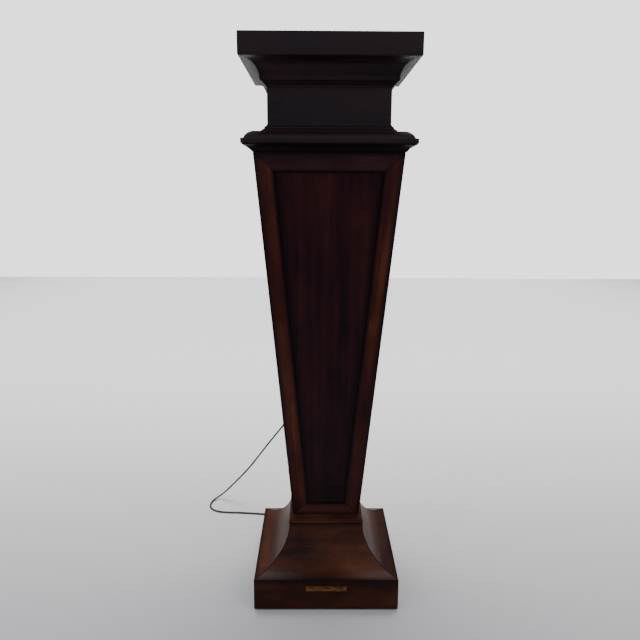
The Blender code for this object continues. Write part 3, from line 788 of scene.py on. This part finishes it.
def make_capital(wood, shaded_bed_wood):
    """Board with a square lip under an ovolo, and the bed moulding beneath it."""
    lip = [(-0.0012, 0.0), (0.0, 0.0, 0.001), (0.0, 0.009, 0.001), (-0.003, 0.009)]
    ovolo = arc((-0.025, 0.0015), 0.0215, 20.4, 88, 20)
    outline = rounded(lip, closed=False)[:-1] + ovolo + [(-0.0265, CAPITAL.high - CAPITAL.low)]
    board = moved(outline, CAPITAL.half, CAPITAL.low)
    moulded_board("capital_board", board, wood, 31.0, hole=2 * LEAD_RADIUS)
    profile = [
        (0.018, 0.014), (0.018, 0.0126, 0.0006), (0.0168, 0.0116, 0.0006),
        (0.0126, 0.0104, 0.0012), (0.0092, 0.0088, 0.003), (0.006, 0.0058, 0.003),
        (0.0032, 0.0022, 0.002), (0.0008, 0.0002, 0.0006), (0.0, 0.0),
    ]
    profile = rounded(profile, closed=False)
    inside = -FRAME_WIDTH
    outline = moved(profile + [(inside, 0.0), (inside, 0.014)], TOP_RAIL.half, BED.low)
    # The bed moulding takes a darker copy of the wood, as painted shade under the capital's lip.
    four_sides("bed_moulding", outline, 2, shaded_bed_wood, 37.0)


def make_corner_posts(wood):
    for (right, front), corner in zip(CORNER_SIGNS, CORNERS):
        points = []
        for end, inner in COLUMN_ENDS:
            points.append(column_point(right, front, 0.0, 0.0, end))
            for across in ((FRAME_WIDTH, 0.0), (0.0, FRAME_WIDTH), (FRAME_WIDTH, FRAME_WIDTH)):
                points.append(column_point(right, front, *across, inner))
        seed = right * 3.1 + front * 5.3

        def grain(point, seed=seed):
            return (point.z + seed, abs(point.y) - abs(point.x), seed)

        def edges(point):
            half = column_half(point.z)
            across = max(half - abs(point.x), half - abs(point.y))
            return (across, FRAME_WIDTH - across, 1.0)

        convex_piece(f"corner_post_{corner}", points, wood, grain, edges)


def make_rails(shaded_top_wood, bottom_wood):
    # Top rails take the shaded copy of the frame's wood: painted shade under the bed moulding.
    for stem, (end, inner), wood in zip(("top_rail", "bottom_rail"), COLUMN_ENDS, (shaded_top_wood, bottom_wood)):
        for side, name in enumerate(SIDES):
            points = []
            for right in (-1, 1):
                for along, into, height in ((0, 0, end), (1, 1, end), (1, 0, inner), (1, 1, inner)):
                    corner = column_point(right, -1, along * FRAME_WIDTH, into * FRAME_WIDTH, height)
                    points.append(turn_to(side) @ corner)

            def grain(point, back=turn_to(-side), seed=side * 2.3 + end):
                local = back @ point
                return (local.x + seed, local.z, seed)

            def edges(point, end=end, inner=inner):
                return (abs(point.z - end), abs(point.z - inner), 1.0)

            convex_piece(f"{stem}_{name}", points, wood, grain, edges)


def panel_grid():
    """A sunk panel in the front place, as a grid fine enough to carry its attributes."""
    columns, rows = 12, 30
    bm = bmesh.new()
    sheets = []
    for depth in (PANEL_SET_BACK, PANEL_SET_BACK + PANEL_THICKNESS):
        sheet = []
        for row in range(rows + 1):
            height = PANEL.low + (PANEL.high - PANEL.low) * row / rows
            reach = column_half(height) - FRAME_WIDTH
            places = [reach * (2.0 * column / columns - 1.0) for column in range(columns + 1)]
            sheet.append([bm.verts.new((x, depth - column_half(height), height)) for x in places])
        sheets.append(sheet)
    front, back = sheets
    for row in range(rows):
        for column in range(columns):
            for sheet in sheets:
                low, high = sheet[row], sheet[row + 1]
                bm.faces.new((low[column], low[column + 1], high[column + 1], high[column]))
        for edge in (0, columns):
            bm.faces.new((front[row][edge], back[row][edge], back[row + 1][edge], front[row + 1][edge]))
    for here in range(columns):
        for edge in (0, rows):
            bm.faces.new((front[edge][here], back[edge][here], back[edge][here + 1], front[edge][here + 1]))
    return bm


def make_panels(wood):
    for side, name in enumerate(SIDES):
        bm = panel_grid()
        shrink(bm)
        move(bm, turn_to(side))
        if name == "back":
            inlet = [(0.0, -0.03), (0.006, -0.03), (0.006, 0.03), (0.0, 0.03)]
            switch = [(0.0067, 0.0097, 0.0004, -0.03), (0.0067, 0.0097, 0.0004, 0.03)]
            cutters = [turned(inlet, back_face_place(LEAD_EXIT_HEIGHT), 32)]
            cutters += [lofted(switch, back_face_place(SWITCH_HEIGHT))]
            bm = cut_away(bm, cutters)

        def grain(point, back=turn_to(-side), side=side):
            return (point.z + side * 3.7, (back @ point).x + side * 0.91, side * 1.3)

        # Distances to the stiles, the top and the bottom, along which the panel's stain darkens; near the
        # frame this is painted shade in the recess.
        def edges(point, back=turn_to(-side)):
            reach = column_half(point.z) - FRAME_WIDTH
            return (reach - abs((back @ point).x), PANEL.high - point.z, point.z - PANEL.low)

        finish_piece(f"panel_{name}", bm, wood, grain=grain, edges=edges)


def make_foot_plate(wood):
    """Flat band, groove and thin upper step, with the set-back riser on top."""
    riser = column_half(BOTTOM_RAIL.low) - 0.003
    band = [
        (-0.002, 0.0), (0.0, 0.0016, 0.0012), (0.0, 0.006, 0.0012), (-0.0006, 0.0067, 0.0004),
        (-0.0026, 0.0069), (-0.0026, 0.0077), (-0.001, 0.0081, 0.0003),
        (-0.001, 0.0092, 0.0005), (-0.0018, 0.01, 0.0004), (-0.006, 0.01),
    ]
    band = rounded(band, closed=False)
    outline = moved(band[:-1], FOOT.half, FOOT.low) + [(riser, FOOT.low + 0.01), (riser, FOOT.high)]
    moulded_board("foot_plate", outline, wood, 43.0)


def make_base_coves(wood):
    """Hollow mouldings, upright at the foot plate and nearly level at the block."""
    radius = 0.088
    inner = FOOT.half - 0.0008
    hidden = [(0.1, BASE_COVE.low), (inner - 0.022, 0.104), (inner - 0.022, BASE_COVE.high)]
    outline = [(inner, BASE_COVE.high)]
    outline += arc((inner + radius, BASE_COVE.high - 0.002), radius, 180, 258.8, 44)
    outline += [(BLOCK.half - 0.0003, BASE_COVE.low)] + hidden
    four_sides("base_cove", outline, len(hidden), wood, 53.0)


def make_block(wood):
    corners = [(BLOCK.half - 0.003, BLOCK.high), (BLOCK.half, BLOCK.high, 0.0016)]
    corners += [(BLOCK.half, BLOCK.low, 0.0022), (BLOCK.inside, BLOCK.low), (BLOCK.inside, BLOCK.high)]
    four_sides("base_board", rounded(corners, steps=6), 2, wood, 61.0)


# Glass, lamp, plate and switch


def carry_over(names, material):
    """CAD nodes that stay as they are, with a finished material."""
    for name in names:
        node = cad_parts[name]
        node.data.materials.clear()
        node.data.materials.append(material)


def make_glass(glass):
    """The CAD's own panel, in frosted glass."""
    carry_over(["glass_panel"], glass)


def make_lamp(ceramic, opal, brass):
    """Batten holder with a ridged skirt, and an opal lamp with a metal cap."""
    skirt = [(0.0, 0.0), (0.0298, 0.0), (0.0299, 0.003), (0.0298, 0.0058), (0.0288, 0.007), (0.025, 0.0082)]
    skirt += [(0.0214, 0.009), (0.0204, 0.011)]
    for ridge in range(6):
        at = 0.014 + ridge * 0.0045
        skirt += [(0.0203, at), (0.0203, at + 0.002), (0.0198, at + 0.0026), (0.0198, at + 0.0039)]
    skirt += [(0.0195, 0.0438), (0.0184, 0.0448), (0.015, 0.0448), (0.0141, 0.0438)]
    skirt += [(0.0141, 0.016), (0.0, 0.016)]
    foot = Matrix.Translation((0.0, 0.0, HOLDER.low))
    finish_piece("lamp_holder", turned(skirt, foot), ceramic)
    seat = foot @ Matrix.Translation((0.0, 0.0, 0.0164))
    cap = [(0.0, 0.0), (0.0098, 0.0), (0.0128, 0.003)]
    for thread in range(6):
        at = 0.004 + thread * 0.0036
        cap += [(0.0129, at), (0.0121, at + 0.0018)]
    cap += [(0.0129, 0.0262), (0.0124, 0.0266), (0.0, 0.0266)]
    finish_piece("lamp", turned(cap, seat), brass, "lamp_cap")
    globe = [(0.0, 0.0268), (0.0124, 0.0268), (0.013, 0.0275), (0.0145, 0.03)]
    globe += arc((0.0, 0.066), 0.0274, -50, 89, 40) + [(0.0, 0.066 + 0.0274)]
    finish_piece("lamp", turned(globe, seat), opal, "lamp_globe")


def make_nameplate(brass, pin_metal):
    """Blank plate with a raised rim line and two domed pins, on the front board."""
    low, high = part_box("nameplate")
    wide, tall = (high.x - low.x) / 2, (high.z - low.z) / 2
    proud = high.y - low.y
    upright = Matrix.Rotation(math.radians(90), 4, "X")
    place = Matrix.Translation((0.0, high.y, (low.z + high.z) / 2)) @ upright
    sections = [
        (wide, tall, 0.0006, 0.0), (wide, tall, 0.0006, proud - 0.0005),
        (wide - 0.0004, tall - 0.0004, 0.0006, proud - 0.0001),
        (wide - 0.001, tall - 0.001, 0.0006, proud - 0.0001),
        (wide - 0.0013, tall - 0.0013, 0.0006, proud - 0.0004),
        (wide - 0.003, tall - 0.002, 0.0006, proud - 0.0004),
    ]
    finish_piece("nameplate", lofted(sections, place), brass)
    dome = arc((0.0, -0.0006), 0.0014, 25, 88, 6)
    pin = [(0.0, 0.00002), (dome[0][0], 0.00002)] + dome + [(0.0, 0.0008)]
    for number, side in enumerate((-1, 1)):
        spot = Matrix.Translation((side * (wide - 0.0045), 0.0, proud - 0.0004 - 0.0003))
        bm = turned(pin, place @ spot, 24)
        finish_piece("nameplate", bm, pin_metal, f"nameplate_pin_{number}")


def make_strain_relief(moulding):
    """Flanged gland and tapered boot with flex grooves, bored for the lead at its tip."""
    stem = 0.0056
    outline = [(0.0, -0.0129), (stem, -0.0129), (stem, 0.0004)]
    flange = [(0.009, 0.0004), (0.0096, 0.0005, 0.0002), (0.0097, 0.0028, 0.0006), (0.0078, 0.0035, 0.0008)]
    outline += rounded(flange, closed=False) + [(0.0061, 0.0048)]
    for groove in range(8):
        at = 0.0062 + groove * 0.0032
        size = 0.0061 - 0.0024 * (at - 0.0048) / 0.0284
        outline += [(size, at), (size - 0.0001, at + 0.0014)]
        outline += [(size - 0.0008, at + 0.0019), (size - 0.0008, at + 0.0027)]
    tip = RELIEF_LENGTH - 0.0001
    outline += [(0.0036, tip - 0.0012), (0.0034, tip - 0.0003), (0.003, tip)]
    outline += [(LEAD_BORE, tip), (LEAD_BORE, tip - 0.003), (0.0, tip - 0.003)]
    bm = turned(outline, back_face_place(LEAD_EXIT_HEIGHT), 48)
    finish_piece("strain_relief", bm, moulding)


def make_switch(plastic):
    """Snap-in rocker switch: a rounded bezel, and a rocker with three grip ridges at its lower end."""
    place = back_face_place(SWITCH_HEIGHT)
    bezel = [
        (0.0056, 0.0086, 0.0003, -0.0079), (0.0056, 0.0086, 0.0003, 0.0012),
        (0.0058, 0.0088, 0.0005, 0.0017), (0.0068, 0.0098, 0.0012, 0.0018),
        (0.0073, 0.0103, 0.0016, 0.0014), (0.0074, 0.0104, 0.0017, 0.001),
        (0.0074, 0.0104, 0.0017, 0.0003), (0.0063, 0.0093, 0.0004, 0.0003),
        (0.0063, 0.0093, 0.0004, -0.0139), (0.003, 0.006, 0.0004, -0.0139),
        (0.003, 0.006, 0.0004, -0.008),
    ]
    finish_piece("switch_body", lofted(bezel, place), plastic)

    width = 0.0051
    face = [(-0.0075, 0.0036), (-0.004, 0.0028), (0.0, 0.00255), (0.004, 0.0028)]
    for ridge in range(3):
        at = 0.0046 + ridge * 0.0009
        rise = 0.0028 + (at - 0.004) * 0.22
        crest = rise + 0.00015
        face += [(at, rise), (at + 0.0002, crest), (at + 0.0005, crest), (at + 0.0007, rise)]
    face += [(0.0075, 0.0036)]
    under = [(0.0069, -0.0009), (0.003, -0.0039), (-0.003, -0.0039), (-0.0069, -0.0009)]
    bm = bmesh.new()
    rings = [[bm.verts.new((x, y, z)) for y, z in face + under] for x in (-width, width)]
    join_rings(bm, rings)
    face_outwards(bm)
    rims = [edge for edge in bm.edges if edge.calc_face_angle(0.0) > math.radians(40)]
    bmesh.ops.bevel(bm, geom=rims, offset=0.00012, segments=2, profile=0.5, affect="EDGES")
    axle = Matrix.Translation((0.0, 0.0, -ROCKER_AXIS_DEPTH)) @ Matrix.Rotation(-SWITCH_SWING, 4, "X")
    move(bm, place @ axle)
    finish_piece("switch_rocker", bm, plastic, body="rocker")


# Other materials


def brass_material():
    """Aged brass, brushed along its length, with patina and dark spots."""
    g = Graph("Aged brass")
    place = g.object_space()
    brushed = g.noise(place, (40.0, 900.0, 4200.0), detail=3.0)
    patina = g.noise(place, (70.0, 70.0, 160.0), detail=4.0, roughness=0.65)
    spots = g.noise(place, 420.0)
    tone = g.mul_add(brushed, 0.35, g.math("MULTIPLY", patina, 0.75))
    colour = g.mix(g.fade(tone, 0.38, 0.72), (0.06, 0.024, 0.009), (0.24, 0.115, 0.04))
    colour = g.mix(g.fade(spots, 0.62, 0.74, 0.0, 0.55), colour, (0.04, 0.02, 0.009))
    rough = g.mul_add(brushed, 0.22, g.mul_add(patina, -0.18, 0.42))
    height = g.mul_add(brushed, 0.6, g.math("MULTIPLY", spots, -0.3))
    return g.finished(colour, rough, height, 0.25, 0.00008, Metallic=1.0)


def metal_material(name, colour, roughness):
    g = Graph(name)
    marks = g.noise(g.object_space(), (300.0, 1600.0, 1600.0), detail=3.0)
    shade = g.mix(g.fade(marks, 0.3, 0.7), tuple(0.72 * c for c in colour), colour)
    return g.finished(shade, g.mul_add(marks, 0.16, roughness - 0.08), marks, 0.15, 0.00004, Metallic=1.0)


def glass_material():
    """Acid-etched glass: even frost with faint clouds."""
    g = Graph("Frosted glass")
    place = g.object_space()
    frost = g.noise(place, 2600.0)
    clouds = g.noise(place, 14.0, detail=4.0, roughness=0.6)
    colour = g.mix(g.fade(clouds, 0.35, 0.68), (0.74, 0.79, 0.77), (0.86, 0.9, 0.88))
    return g.finished(
        colour, g.mul_add(clouds, 0.16, 0.44), frost, 0.3, 0.00006,
        Transmission_Weight=0.55, IOR=1.5, Specular_IOR_Level=0.5,
    )


def opal_material():
    g = Graph("Opal lamp glass")
    depth = g.noise(g.object_space(), 55.0, detail=3.0)
    colour = g.mix(depth, (0.86, 0.83, 0.76), (0.94, 0.92, 0.87))
    return g.finished(
        colour, g.mul_add(depth, 0.08, 0.16), depth, 0.05, 0.0002,
        Coat_Weight=0.4, Coat_Roughness=0.08, Specular_IOR_Level=0.5,
    )


def ceramic_material():
    """Glazed ceramic, faintly clouded, with specks of dirt."""
    g = Graph("White ceramic")
    place = g.object_space()
    cloud = g.noise(place, 60.0, detail=3.0)
    grit = g.noise(place, 700.0)
    colour = g.mix(g.fade(cloud, 0.35, 0.7), (0.7, 0.68, 0.61), (0.84, 0.83, 0.79))
    colour = g.mix(g.fade(grit, 0.66, 0.76, 0.0, 0.4), colour, (0.42, 0.38, 0.32))
    rough = g.mul_add(cloud, 0.14, 0.18)
    return g.finished(colour, rough, cloud, 0.1, 0.0003, Coat_Weight=0.5, Coat_Roughness=0.06)


def moulded_material(name, dark, light, roughness, texture, grain_size):
    """Moulded plastic or rubber: a fine spark-eroded texture with uneven sheen and a little dust."""
    g = Graph(name)
    place = g.object_space()
    fine = g.noise(place, grain_size)
    wide = g.noise(place, 120.0, detail=4.0, roughness=0.6)
    colour = g.mix(g.fade(wide, 0.35, 0.7), dark, light)
    dust = g.fade(g.mul_add(fine, 0.4, g.math("MULTIPLY", wide, 0.6)), 0.56, 0.68, 0.0, 0.3)
    colour = g.mix(dust, colour, tuple(min(1.0, 2.4 * c + 0.02) for c in light))
    return g.finished(colour, g.mul_add(wide, 0.18, roughness - 0.09), fine, texture, 0.00008)


def strap_material():
    """Woven nylon with short loops."""
    g = Graph("Strap")
    place = g.object_space()
    loops = g.noise(place, 1900.0, detail=3.0, roughness=0.7)
    weave = g.noise(place, (700.0, 700.0, 260.0), detail=1.0)
    colour = g.mix(g.fade(loops, 0.3, 0.7), (0.006, 0.006, 0.007), (0.035, 0.035, 0.037))
    rough = g.mul_add(loops, 0.2, 0.68)
    height = g.mul_add(loops, 0.6, weave)
    return g.finished(colour, rough, height, 0.6, 0.00025, Sheen_Weight=0.3, Sheen_Roughness=0.5)


def raw_wood_material():
    """Unpolished wood for the board under the block."""
    g = Graph("Raw board")
    place = g.object_space()
    rings = g.noise(place, (3.0, 48.0, 48.0), detail=5.0, roughness=0.6, distortion=0.8)
    fibres = g.noise(place, (30.0, 900.0, 900.0), detail=3.0)
    tone = g.mul_add(fibres, 0.35, g.math("MULTIPLY", rings, 0.75))
    colour = g.mix(g.fade(tone, 0.35, 0.75), (0.075, 0.035, 0.018), (0.2, 0.105, 0.052))
    return g.finished(colour, g.mul_add(fibres, 0.2, 0.62), tone, 0.4, 0.0003)


NOWHERE = (1.0, 0.0)  # a reach that leaves its edge light
WOODS = {  # what wood_material takes, in its order
    "dark": (
        "Dark mahogany", (0.007, 0.0035, 0.0048), (0.016, 0.0065, 0.007), (0.036, 0.012, 0.009),
        (NOWHERE, NOWHERE, (0.0025, 0.8)), 0.3, 0.6, 0.12, 0.25,
    ),
    # A darker, less glossy copy of the dark wood for the bed moulding: painted shade under the capital's lip.
    "bed": (
        "Mahogany in painted shade", (0.003, 0.002, 0.003), (0.007, 0.0034, 0.0044), (0.015, 0.006, 0.0055),
        (NOWHERE, NOWHERE, (0.0025, 0.8)), 0.3, 0.6, 0.03, 0.08,
    ),
    # A darker, mauve-tinted copy of the frame's wood for the top rails, with their tops darkened over 11 mm:
    # painted shade under the bed moulding.
    "rail": (
        "Shaded mauve mahogany", (0.016, 0.0056, 0.0072), (0.042, 0.015, 0.0165), (0.105, 0.036, 0.028),
        ((0.011, 0.9), (0.006, 0.75), NOWHERE), 0.5, 0.6, 0.05, 0.12,
    ),
    # A lighter copy of the dark wood for the top coves, darkened over 18 mm towards each mitre, so that the
    # middle of each cove carries a painted highlight.
    "cove": (
        "Mahogany with painted highlight", (0.01, 0.0045, 0.0062), (0.026, 0.0105, 0.0125), (0.066, 0.022, 0.016),
        (NOWHERE, NOWHERE, (0.018, 0.8)), 0.3, 0.7, 0.08, 0.2,
    ),
    # Darker within 13 mm of the outer arrises and 8 mm of the panel: partly stain rubbed into the edges,
    # partly painted shade where the frame meets the sunk panel.
    "frame": (
        "Red mahogany", (0.016, 0.0034, 0.0028), (0.05, 0.0105, 0.0068), (0.155, 0.044, 0.015),
        ((0.013, 0.95), (0.008, 0.85), NOWHERE), 0.5, 0.6, 0.05, 0.12,
    ),
    # Darkened over 18 mm towards the stiles and 7 mm under the top rail as painted shade in the panel's
    # recess, and darker towards the bottom over 12 cm.
    "panel": (
        "Plum mahogany", (0.008, 0.0034, 0.0062), (0.025, 0.007, 0.0094), (0.052, 0.0125, 0.011),
        ((0.018, 0.85), (0.007, 0.7), (0.12, 0.75)), 0.75, 0.55, 0.05, 0.09,
    ),
    "foot": (
        "Light mahogany", (0.022, 0.0065, 0.0035), (0.07, 0.021, 0.009), (0.14, 0.05, 0.019),
        ((0.0014, 0.8), (0.0014, 0.6), NOWHERE), 0.3, 0.8, 0.06, 0.15,
    ),
    # Darker over 15 mm along the foot plate and 10 mm along the block: painted shade in the crease and at the
    # joint, together with stain rubbed into the edges; a thin dark line at the mitres.
    "base": (
        "Warm mahogany", (0.018, 0.0052, 0.0028), (0.06, 0.0175, 0.0068), (0.13, 0.045, 0.0145),
        ((0.015, 0.75), (0.01, 0.85), (0.0035, 0.8)), 0.3, 0.85, 0.05, 0.13,
    ),
    "block": (
        "Deep mahogany", (0.011, 0.0026, 0.0012), (0.032, 0.0078, 0.0026), (0.09, 0.026, 0.007),
        ((0.022, 0.85), (0.008, 0.85), (0.0035, 0.8)), 0.3, 0.95, 0.04, 0.1,
    ),
}


def main():
    make_camera()
    moulding = moulded_material("Black moulding", (0.01,) * 3, (0.024,) * 3, 0.5, 0.35, 2600.0)
    plastic = moulded_material("Black plastic", (0.01, 0.01, 0.011), (0.02, 0.02, 0.022), 0.32, 0.2, 3400.0)
    sheath = moulded_material("Lead sheath", (0.012, 0.009, 0.009), (0.03, 0.024, 0.022), 0.44, 0.15, 1800.0)
    nickel = metal_material("Nickel", (0.7, 0.68, 0.64), 0.26)
    lead, exit_point, length, tie = make_lead(sheath, strap_material())
    plug = make_plug(moulding, nickel)

    make_world()
    make_lights()
    make_floor()
    woods = {key: wood_material(*values) for key, values in WOODS.items()}
    brass = brass_material()
    make_slab(woods["dark"])
    make_top_coves(woods["cove"])
    make_neck(woods["dark"])
    make_capital(woods["dark"], woods["bed"])
    make_corner_posts(woods["frame"])
    make_rails(woods["rail"], woods["frame"])
    make_panels(woods["panel"])
    make_foot_plate(woods["foot"])
    make_base_coves(woods["base"])
    make_block(woods["block"])
    make_glass(glass_material())
    make_lamp(ceramic_material(), opal_material(), brass)
    make_nameplate(brass, metal_material("Pin brass", (0.5, 0.33, 0.14), 0.3))
    make_strain_relief(moulding)
    make_switch(plastic)
    nylon = moulded_material("Brown nylon", (0.06, 0.04, 0.03), (0.11, 0.078, 0.058), 0.55, 0.2, 2400.0)
    carry_over([f"glide_{corner}" for corner in CORNERS], nylon)
    carry_over(["bottom_board"], raw_wood_material())
    carry_over(["inner_lead"], sheath)


main()
